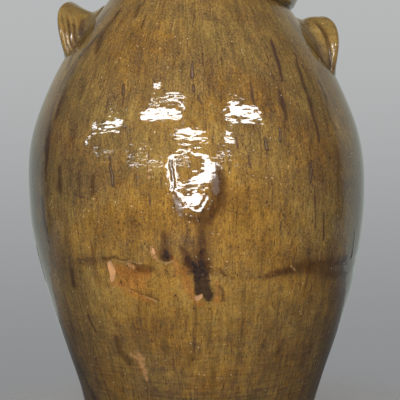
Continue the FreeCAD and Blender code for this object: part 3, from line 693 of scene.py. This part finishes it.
# %% [markdown]
# ## Shader arithmetic
# A glaze is mostly arithmetic: this noise plus that one, cut at a height, mixed into a colour.
# One small class wraps a node's output so that Python's own signs add the Math nodes, and one
# method places every other node from its type, its settings and what goes into its sockets.
# Two more keep the colour built up so far: one lays paint over it and the other dyes it.

# %% Wires and recipes


def signs(operation):
    """The two methods of one sign, with the wire on its left and on its right."""
    return (lambda wire, other: wire.math(operation, wire, other),
            lambda wire, other: wire.math(operation, other, wire))


class Wire:
    """A socket with arithmetic: each sign adds one Math node."""

    def __init__(self, recipe, socket):
        self.recipe, self.socket = recipe, socket

    def math(self, operation, *inputs, clamp=False):
        settings = {"operation": operation, "use_clamp": clamp}
        return self.recipe.node("Math", settings, dict(enumerate(inputs)))

    __add__, __radd__ = signs("ADD")
    __sub__, __rsub__ = signs("SUBTRACT")
    __mul__, __rmul__ = signs("MULTIPLY")
    __truediv__, __rtruediv__ = signs("DIVIDE")

    def clamped(self):
        return self.math("ADD", self, 0.0, clamp=True)

    def step(self, low, high):
        """0 below low, 1 above high, and a smooth rise between."""
        settings = {"interpolation_type": "SMOOTHSTEP"}
        return self.recipe.node("MapRange", settings,
                                {"Value": self, "From Min": low, "From Max": high})


class Recipe:
    """The nodes of a material or of the world, under construction."""

    def __init__(self, owner):
        owner.use_nodes = True
        self.owner, self.tree = owner, owner.node_tree
        self.tree.nodes.clear()

    def node(self, kind, settings=None, inputs=None, output=0):
        """Places a node, sets it up, then fills or links its sockets; gives one output back."""
        made = self.tree.nodes.new("ShaderNode" + kind)
        for key, value in (settings or {}).items():
            if key == "stops":
                ramp = made.color_ramp
                while len(ramp.elements) < len(value):
                    ramp.elements.new(0.5)
                for element, (place, colour) in zip(ramp.elements, value):
                    element.position, element.color = place, (*colour, 1.0)
            else:
                setattr(made, key, value)
        for key, value in (inputs or {}).items():
            socket = made.inputs[key]
            if isinstance(value, Wire):
                self.tree.links.new(value.socket, socket)
            elif socket.type == "RGBA" and len(value) == 3:
                socket.default_value = (*value, 1.0)
            else:
                socket.default_value = value
        return Wire(self, made.outputs[output]) if made.outputs else None

    def mix(self, first, second, share, blend="MIX"):
        """Colour mix: first where share is 0, second where it is 1."""
        settings = {"data_type": "RGBA", "blend_type": blend}
        return self.node("Mix", settings, {0: share, 6: first, 7: second}, output=2)

    def paint(self, colour, share):
        """Lays a colour over what the recipe's colour holds so far."""
        self.colour = self.mix(self.colour, colour, share)

    def dye(self, tint, share):
        """Multiplies what the recipe's colour holds so far by a tint."""
        self.colour = self.mix(self.colour, tint, share, "MULTIPLY")

    def vector(self, operation, *inputs, output=0):
        return self.node("VectorMath", {"operation": operation}, dict(enumerate(inputs)), output)

    def axis(self, place, name):
        return self.node("SeparateXYZ", inputs={"Vector": place}, output=name)

    def rays(self, kind):
        """1 for rays of a kind, such as those from the camera, and 0 for the others."""
        return self.node("LightPath", output=f"Is {kind} Ray")

    def layer(self, name):
        return self.node("Attribute", {"attribute_name": name}, output="Fac")

    def noise(self, place, detail=2.0, roughness=0.5):
        """Noise between 0 and 1 whose grain is one unit of the place that it is given."""
        return self.node("TexNoise", {"noise_dimensions": "3D"},
                         {"Vector": place, "Scale": 1.0, "Detail": detail, "Roughness": roughness})

    def cells(self, place):
        """Distance to the nearest of scattered points, about one to each unit of the place."""
        return self.node("TexVoronoi", {"feature": "F1"}, {"Vector": place, "Scale": 1.0})


# %% [markdown]
# ## Where the glaze is
# Patterns in a runny glaze follow the way it ran: they are drawn out down the wall. The place on
# the jar is therefore split into a part that goes round, which has the same length at every
# height, and the height. Dividing each by its own grain gives noise that is as narrow and as
# long as wished.

# %% Places on the jar


class JarPlace:
    """The shaded point in millimetres, whole and split into round-the-jar and up-the-jar."""

    RADIUS = 150.0
    STILL = 1.3

    def __init__(self, recipe, upright=True):
        self.recipe, self.upright = recipe, upright
        metres = recipe.node("TexCoord", output="Object")
        self.point = self.scaled(metres, 1 / MM)
        x, y, self.height = (recipe.axis(self.point, name) for name in "XYZ")
        flat = recipe.node("CombineXYZ", inputs={"X": x, "Y": y, "Z": 0.0})
        self.heading = recipe.vector("NORMALIZE", flat)

    def scaled(self, vector, size):
        return self.recipe.node("VectorMath", {"operation": "SCALE"},
                                {"Vector": vector, "Scale": size})

    def grain(self, size):
        """The place counted in grains of one size in every direction."""
        return self.scaled(self.point, 1 / size)

    def drawn(self, across, along):
        """The place counted in grains that are across wide and along long."""
        if not self.upright:
            return self.grain(across * self.STILL)
        sideways = self.scaled(self.heading, self.RADIUS / across)
        upright = self.recipe.node("CombineXYZ", inputs={"Z": self.height / along})
        return self.recipe.vector("ADD", sideways, upright)


# %% [markdown]
# ## The glaze
# A wood-ash glaze is a dark glass over tan clay. Where it ran thin the clay shows through gold,
# where it pooled it goes olive and brown, and iron makes near-black drips. The colour starts from
# how thick the glaze lies: a slow cloud with drawn-out streaks and fine mottling over it. Green
# patches, brown gullies and dark hairs follow, then the marks from the strokes (rust, scars,
# stains, smoke, streaks, ash clouds, painted highlights, tears and drips), then pits, pale grit
# painted bright as glints, and bare chips. The glass itself is clear and sharp, so the roughness
# is low, and the light is broken up by the skin's own unevenness: faint turning lines, upright
# runs and a fine pebbling, all in the bump.

# %% Glaze colours (linear red, green, blue)
POOLED, BROWN, AMBER, GOLD = ((0.072, 0.041, 0.024), (0.150, 0.087, 0.034),
                              (0.262, 0.155, 0.043), (0.440, 0.290, 0.082))
OLIVE, STREAK, ASH = (0.180, 0.120, 0.032), (0.072, 0.038, 0.028), (0.150, 0.125, 0.115)
IRON, UMBER = (0.020, 0.012, 0.010), (0.050, 0.027, 0.016)
CLAY, DULL_CLAY = (0.620, 0.310, 0.125), (0.400, 0.215, 0.100)
SCAR, TEAR = (0.460, 0.245, 0.100), (0.190, 0.130, 0.090)
# The pale grit colour is bright so that its specks also stand as painted glints; the golden stroke
# colour after it is for painted highlights.
GRIT_AND_GLINT, PAINTED_GLINT = (0.800, 0.620, 0.380), (0.480, 0.310, 0.120)
# Tints, which multiply the colour under them
WARM, COOL, RUSTED = (1.06, 0.91, 0.62), (0.93, 1.03, 1.04), (1.08, 0.86, 0.86)
SMOKED, STAINED = (0.44, 0.38, 0.58), (0.48, 0.42, 0.48)
# Heights between which the glaze passes from the foot's broader grain to the belly's
LOW_BAND = (70.0, 215.0)
GLASS_IOR = 1.6


def glaze_recipe(name, tone=0.0, run=1.0, bare_below=None, upright=True):
    """The jar's glaze. tone lifts it towards gold, run is how strongly the streaks show, and
    everything under the height bare_below was wiped and stays bare clay. On the handles the
    glaze lay still, so upright is off and its patterns have no direction."""
    recipe = Recipe(bpy.data.materials.new(name))
    layer, noise, paint, dye = recipe.layer, recipe.noise, recipe.paint, recipe.dye
    place = JarPlace(recipe, upright)
    grain, drawn = place.grain, place.drawn
    cloud, blotch = noise(grain(70), 2.0), noise(grain(18), 2.0)
    bands, fibres = noise(drawn(6, 22), 3.0, 0.6), noise(drawn(1.1, 2.2), 1.0)
    threads, turnings = noise(drawn(1.6, 12), 1.0), noise(drawn(24, 2.2), 1.0)
    mottle, speckle = noise(grain(3.4), 3.0, 0.65), noise(grain(1.3), 1.0)
    low = 1.0 - place.height.step(*LOW_BAND)
    lively = ((bands - 0.5) * 0.56 * run + (threads - 0.5) * 0.36 * run
              + (mottle - 0.5) * 0.42 + (turnings - 0.5) * 0.42 * low
              + ((fibres - 0.5) * 0.52 * run + (speckle - 0.5) * 0.72) * (1.0 - low * 0.5))
    thickness = (0.51 + tone + layer("tone") + (cloud - 0.5) * 0.35 + (blotch - 0.5) * 0.38
                 + lively * layer("life") - low * 0.08)
    recipe.colour = recipe.node("ValToRGB", {"stops": [
        (0.10, POOLED), (0.36, BROWN), (0.58, AMBER), (0.90, GOLD)]}, {"Fac": thickness})
    paint(OLIVE, noise(drawn(9, 22), 2.0).step(0.42, 0.66) * 0.25)
    hue = (noise(grain(9), 4.0, 0.7) - 0.5) * 3.2 + layer("warmth")
    dye(WARM, hue.clamped())
    dye(COOL, (0.0 - hue).clamped())

    over = layer("hem") + (noise(drawn(3, 6), 3.0, 0.7) - 0.5) * 20.0
    seam_line = over.step(-2.0, 0.5) * (1.0 - over.step(0.5, 7.0))
    dye(SMOKED, seam_line * noise(grain(34), 1.0).step(0.40, 0.62) * 0.6)
    paint(POOLED, noise(drawn(2.4, 30), 1.0).step(0.64, 0.74) * 0.5 * run)
    dye(STAINED, noise(drawn(11, 46), 3.0, 0.6).step(0.50, 0.72) * 0.45 * run)
    hairs = noise(drawn(1.1, 6), 0.0).step(0.68, 0.78)
    paint(UMBER, hairs * blotch.step(0.38, 0.62) * 0.85 * run)

    edge = (noise(grain(1.6), 2.0) - 0.5) * 0.5
    ragged = (mottle - 0.5) * 1.6 + (speckle - 0.5) * 0.8 + ((fibres - 0.5) * 0.5 + edge)

    def share(sort, grit, start, full):
        """How much of a sort of mark shows: its layer with grain, rising from start to full."""
        return (layer(sort) + ragged * grit).step(start, full)

    dye(RUSTED, share("rust", 0.7, 0.15, 0.95))
    paint(SCAR, share("scar", 0.8, 0.35, 0.75) * (0.40 + mottle.step(0.38, 0.58) * 0.42))
    dye(STAINED, share("stain", 0.9, 0.10, 1.00))
    dye(SMOKED, share("smoke", 0.8, 0.10, 0.90))
    broken = 0.60 + noise(drawn(1.4, 4), 1.0).step(0.30, 0.60) * 0.70
    paint(STREAK, (layer("streak") * broken + ragged * 0.5).step(0.25, 0.75) * 0.80)
    ash = share("cloud", 1.0, 0.20, 0.95)
    paint(ASH, ash * 0.45)
    # painted highlights along the edges of drips and dark lines
    paint(PAINTED_GLINT, share("spark", 0.8, 0.25, 0.85) * 0.45)
    paint(UMBER, share("tear", 0.35, 0.24, 0.56) * 0.85)
    paint(TEAR, share("tear", 0.35, 0.66, 0.96) * 0.80)
    drip = share("drip", 0.5, 0.26, 0.76)
    paint(recipe.mix(UMBER, IRON, drip * mottle.step(0.30, 0.60)), drip * 0.92)

    pits = 1.0 - recipe.cells(drawn(8, 13)).step(0.05, 0.12)
    paint(IRON, pits * 0.7)
    # pale grit specks, raised in the bump too, partly real grit and partly painted glints
    grit = (1.0 - recipe.cells(grain(7)).step(0.05, 0.11)) * cloud.step(0.42, 0.60)
    paint(GRIT_AND_GLINT, grit * (0.7 - drip * 0.5))
    chip = (layer("chip") + edge * 0.5).step(0.46, 0.54)
    if bare_below is not None:
        wiped = 1.0 - (place.height + edge * 3.0).step(bare_below, bare_below + 0.6)
        chip = chip.math("MAXIMUM", chip, wiped)
    paint(recipe.mix(DULL_CLAY, CLAY, noise(grain(14), 3.0).step(0.4, 0.6)), chip)

    pebbles, turning = noise(drawn(7, 3.8), 0.7, 0.4), noise(drawn(9, 2), 0.5)
    runs, sand = noise(drawn(5, 30), 2.0), noise(grain(0.9), 2.0) * chip
    height = (pebbles * 0.17 + turning * 0.014 + runs * 0.06 * run + grit * 0.16
              - pits * 0.14 + sand * 0.35)
    normal = recipe.node("Bump", inputs={"Height": height, "Distance": MM,
                                                   "Strength": 1.0})
    surface = recipe.node("BsdfPrincipled", inputs={
        "Base Color": recipe.colour, "Roughness": 0.03 + mottle * 0.04 + ash * 0.08 + chip * 0.6,
        "IOR": GLASS_IOR, "Normal": normal})
    recipe.node("OutputMaterial", inputs={"Surface": surface})
    return recipe.owner


wall_glaze = glaze_recipe("wall_glaze", bare_below=4.0)
rim_glaze = glaze_recipe("rim_glaze", tone=-0.08, run=1.3)
handle_glaze = glaze_recipe("handle_glaze", tone=0.02, run=0.7, upright=False)
print("glaze nodes:", len(wall_glaze.node_tree.nodes))

# %% [markdown]
# ## Fit the pieces to the frame
# Every piece stands for one CAD node and rides on the one body that the jar has.

# %% Attach
for piece, node, material in (
        (lower_wall, "lower_wall", wall_glaze), (upper_wall, "upper_wall", wall_glaze),
        (rim_collar, "rim_collar", rim_glaze), (left_handle, "left_handle", handle_glaze),
        (right_handle, "right_handle", handle_glaze)):
    piece.data.materials.append(material)
    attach(piece, "root")
    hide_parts(node)

# %% [markdown]
# ## Camera
# The picture was taken with a long lens from a metre away, a little above the jar's middle, so
# the foot and most of the rim are cut off. The camera looks slightly down and is tilted by one
# degree.

# %% Camera
EYE = Vector((3.1, -1030.0, 305.0)) * MM
LENS_MM, SENSOR_MM = 90.0, 36.0
PITCH_DOWN, ROLL = atan(0.05), radians(-1.0)

camera = add_object("camera", bpy.data.cameras.new("camera"))
camera.data.lens, camera.data.sensor_width = LENS_MM, SENSOR_MM
camera.location = EYE
aim = Matrix.Rotation(pi / 2 - PITCH_DOWN, 3, "X") @ Matrix.Rotation(ROLL, 3, "Z")
camera.rotation_euler = aim.to_euler()
bpy.context.scene.camera = camera

# %% [markdown]
# ## Studio
# A glossy jar shows its lamps. The reflections on this one come from soft boxes above it, a large
# ring-shaped panel around the camera and thin bent tubes. Each box is placed by the direction in
# which the jar's front sees it, and sized by the angle that it covers there. Two more lamps
# behind the jar light its back without showing in the glaze.

# %% Lamps
TARGET = Vector((0.0, -165.0, 320.0)) * MM
LAMP_DISTANCE = 1.15
GLOW = 20.0
# Soft boxes: azimuth, elevation, width, height and roll in degrees
BOXES = {"left_box": (-26.5, 35.4, 27, 6, 4), "left_box_spot": (-37, 49.6, 4.6, 2.2),
         "right_box": (42, 33.6, 21, 6, -18), "right_box_side": (29.4, 33.2, 7.6, 2.2),
         "right_box_top": (34, 38, 8, 3.6), "top_strip": (-3.4, 25.4, 24, 3.6, -6),
         "right_strip": (26.5, 23.4, 8, 2.4, -16)}
FILLS = {"back_fill_left": (-150, 24, 30, 30), "back_fill_right": (150, 24, 30, 30)}
FILL_GLOW = 6.0


def soft_box(name, azimuth, elevation, width, height, roll=0.0, radiance=GLOW):
    """An oval lamp seen from the jar's front in a direction, all angles in degrees."""
    turn, climb = radians(azimuth), radians(elevation)
    heading = Vector((sin(turn) * cos(climb), -cos(turn) * cos(climb), sin(climb)))
    lamp = bpy.data.lights.new(name, "AREA")
    lamp.shape = "ELLIPSE"
    lamp.size = 2 * LAMP_DISTANCE * tan(radians(width / 2))
    lamp.size_y = 2 * LAMP_DISTANCE * tan(radians(height / 2))
    lamp.energy = radiance * pi * lamp.size * lamp.size_y * pi / 4
    box = add_object(name, lamp)
    box.location = TARGET + heading * LAMP_DISTANCE
    spin = Matrix.Rotation(radians(roll), 3, "Z")
    box.rotation_euler = (heading.to_track_quat("Z", "Y").to_matrix() @ spin).to_euler()
    box.visible_camera = False
    return box


for name, place in BOXES.items():
    soft_box(name, *place)
for name, place in FILLS.items():
    soft_box(name, *place, radiance=FILL_GLOW).visible_glossy = False
print("lamps:", len(BOXES), "soft boxes and", len(FILLS), "fills")

# %% [markdown]
# The ring panel is a flat band between two ellipses that aren't quite centred on each other, so
# that it is broader below, as its reflection in the glaze shows. A second band slants across it,
# and a third runs down its left side and on below it. The tubes are thin bands bent along a few
# directions.

# %% Ring panel
RING_PLANE = -1060.0
OUTER_CENTRE, OUTER_HALF = (-64, 452), (254, 172)
INNER_CENTRE, INNER_HALF = (-68, 458), (182, 142)
RING_STEPS = 96
# Bands in the ring's plane: (across, up, half width) in millimetres
BANDS = {
    "slant_panel": [(175, 530, 8), (140, 450, 22), (60, 384, 30), (-50, 330, 28), (-150, 296, 10)],
    "tail_panel": [(-290, 440, 14), (-300, 380, 24), (-268, 300, 26), (-216, 232, 30),
                   (-150, 192, 40), (-70, 178, 52), (10, 190, 50), (70, 206, 30), (100, 214, 6)],
}
# Bent tubes: (azimuth, elevation, half width) in degrees
TUBES = {
    "left_hook": [(-56, 27.4, 0.6), (-60, 26.8, 1.9), (-65, 25.6, 1.9), (-70, 24.2, 1.1),
                  (-74, 23.2, 0.3)],
    "left_bead_1": [(-76, 22.8, 0.4), (-78, 21.2, 0.5), (-78, 20.4, 0.3)],
    "left_bead_2": [(-79, 17.8, 0.3), (-81, 16.6, 0.5), (-80, 16, 0.3)],
    "left_bead_3": [(-83, 14.2, 0.5), (-80, 13.2, 0.4)],
    "left_bead_4": [(-74, 11.2, 0.3), (-71, 10.6, 0.3)],
    "left_thread": [(-68, 11.8, 0.08), (-62, 12.9, 0.08), (-56, 14, 0.08)],
    "left_curl": [(-47, 12.4, 0.2), (-43, 14.2, 0.25), (-38, 15, 0.25), (-33, 13.6, 0.2)],
    "left_line": [(-47, 9.2, 0.2), (-42, 8.6, 0.2), (-34, 9, 0.25), (-27, 9.8, 0.3),
                  (-22, 11, 0.15)],
    "right_line": [(14, 17.6, 0.2), (19, 16.4, 0.4), (25, 15, 0.25)],
    "right_dash": [(12, 11.5, 0.3), (15, 11.2, 0.5), (19, 10.8, 0.3)],
    "inner_curl": [(-13, 12.3, 0.2), (-7, 13.4, 0.3), (-3, 11.3, 0.2), (-9, 9.8, 0.25)],
    "left_dot": [(-70, 31.4, 0.2), (-68, 31.6, 0.4), (-66, 31.8, 0.3)],
    "left_crest": [(-40, 38.4, 0.3), (-37, 40.6, 0.4), (-30, 43, 0.5), (-22, 44.8, 0.5),
                   (-15, 44.6, 0.8), (-11, 42, 0.9), (-9, 38.5, 0.6)],
}


def ellipse(centre, half, turn):
    """Points of an upright ellipse in the ring's plane: centre + half * (cos, sin)."""
    return side_by_side(centre[0] + half[0] * np.cos(turn), RING_PLANE,
                        centre[1] + half[1] * np.sin(turn))


def ribbon(path):
    """The two edges of a flat band: its path, half a width to each side along the normal."""
    across, up, half = np.array(path, float).T
    slope = np.stack([np.gradient(across), np.gradient(up)])
    side = np.stack([-slope[1], slope[0]]) / np.hypot(*slope) * half
    return np.stack([side_by_side(across + side[0], RING_PLANE, up + side[1]),
                     side_by_side(across - side[0], RING_PLANE, up - side[1])])


def tube(path):
    """The two edges of a bent tube on a sphere round the jar's front: each direction, plus and
    minus tan(half width) along the sideways direction."""
    azimuth, climb, half = np.radians(np.array(path, float)).T
    heading = side_by_side(np.sin(azimuth) * np.cos(climb), -np.cos(azimuth) * np.cos(climb),
                           np.sin(climb))
    side = np.cross(heading, np.gradient(heading, axis=0))
    side *= (np.tan(half) / np.linalg.norm(side, axis=1))[:, None]
    return (np.stack([heading + side, heading - side]) * LAMP_DISTANCE + TARGET) / MM


glow = Recipe(bpy.data.materials.new("panel_glow"))
glow.node("OutputMaterial", inputs={"Surface": glow.node(
    "Emission", inputs={"Color": (1.0, 1.0, 1.0), "Strength": GLOW})})


def panel(name, edges, closed=False):
    """A glowing band between two edges, which the camera doesn't see."""
    faces = grid_faces(2, edges.shape[1])[:, ::-1]
    mesh = bpy.data.meshes.new(name)
    mesh.from_pydata((edges.reshape(-1, 3) * MM).tolist(), [],
                     (faces if closed else faces[:-1]).tolist())
    mesh.materials.append(glow.owner)
    band = add_object(name, mesh)
    band.visible_camera = False


turn = np.linspace(0, 2 * pi, RING_STEPS, endpoint=False)
for name, path in TUBES.items():
    panel(name, tube(path))
panel("ring_panel", np.stack([ellipse(OUTER_CENTRE, OUTER_HALF, turn),
                              ellipse(INNER_CENTRE, INNER_HALF, turn)]), closed=True)
for name, path in BANDS.items():
    panel(name, ribbon(path))
print("panels:", 1 + len(BANDS), "bands and", len(TUBES), "tubes")

# %% [markdown]
# The floor is a pale sheet that takes the jar's shadow near the jar and lets the backdrop through
# further out, so it has no edge. Behind the jar the surroundings are a plain pale grey, lighter
# at the top. The glaze mirrors a slightly greener grey from there in broad bands along its
# outlines, warmer higher up, and a dim room in front, so that the lamps' reflections stand out.

# %% Floor and surroundings
BACKDROP_LOW, BACKDROP_HIGH = (0.262, 0.268, 0.275), (0.470, 0.480, 0.482)
MIRRORED_LOW, MIRRORED_HIGH = (0.430, 0.475, 0.450), (0.520, 0.490, 0.400)
ROOM = (0.080, 0.077, 0.072)
FLOOR_COLOUR, FLOOR_GLOOM = (0.30, 0.295, 0.285), (0.10, 0.095, 0.09)
FLOOR_HALF, FLOOR_BACK = 1.6, 0.45
# Distances from the axis over which the floor fades, for the eye and for mirrored rays, in metres
FLOOR_FADE, MIRROR_FADE = (0.18, 0.44), (0.25, 0.75)

floor_mesh = bpy.data.meshes.new("floor")
floor_mesh.from_pydata([(-FLOOR_HALF, -FLOOR_HALF, 0), (FLOOR_HALF, -FLOOR_HALF, 0),
                        (FLOOR_HALF, FLOOR_BACK, 0), (-FLOOR_HALF, FLOOR_BACK, 0)],
                       [], [(0, 1, 2, 3)])
floor = add_object("floor", floor_mesh)
sheet = Recipe(bpy.data.materials.new("floor_sheet"))
spot = sheet.node("TexCoord", output="Object")
reach = sheet.vector("LENGTH", spot, output="Value")
seen = sheet.rays("Camera")
matte = sheet.node("BsdfDiffuse", inputs={"Color": sheet.mix(FLOOR_GLOOM, FLOOR_COLOUR, seen)})
far_off = sheet.node("Emission", inputs={"Color": BACKDROP_LOW, "Strength": 1.0})
behind = sheet.axis(spot, "Y").step(0.0, 0.35)
mirrored = reach.step(*MIRROR_FADE) * behind * sheet.rays("Glossy")
lit = sheet.node("MixShader", inputs={0: mirrored, 1: matte, 2: far_off})
blended = sheet.node("MixShader", inputs={
    0: reach.step(*FLOOR_FADE) * seen, 1: lit, 2: sheet.node("BsdfTransparent")})
sheet.node("OutputMaterial", inputs={"Surface": blended})
floor_mesh.materials.append(sheet.owner)

world = bpy.data.worlds.new("studio")
bpy.context.scene.world = world
sky = Recipe(world)
direction = sky.node("TexCoord", output="Generated")
sideways, behind, upward = (sky.axis(direction, name) for name in "XYZ")
pale = sky.mix(BACKDROP_LOW, BACKDROP_HIGH, upward.step(-0.25, 0.15))
wall_share = (behind + sideways * 0.07 - 0.055).step(0.36, 0.52) * (1.0 - upward.step(0.45, 0.75))
mirrored_wall = sky.mix(MIRRORED_LOW, MIRRORED_HIGH, upward.step(0.0, 0.30))
mirrored = sky.mix(ROOM, mirrored_wall, sky.rays("Glossy") * wall_share)
backlight = sky.node("Background", inputs={
    "Color": sky.mix(mirrored, pale, sky.rays("Camera")), "Strength": 1.0})
sky.node("OutputWorld", inputs={"Surface": backlight})
bpy.context.scene.view_settings.view_transform = "Standard"
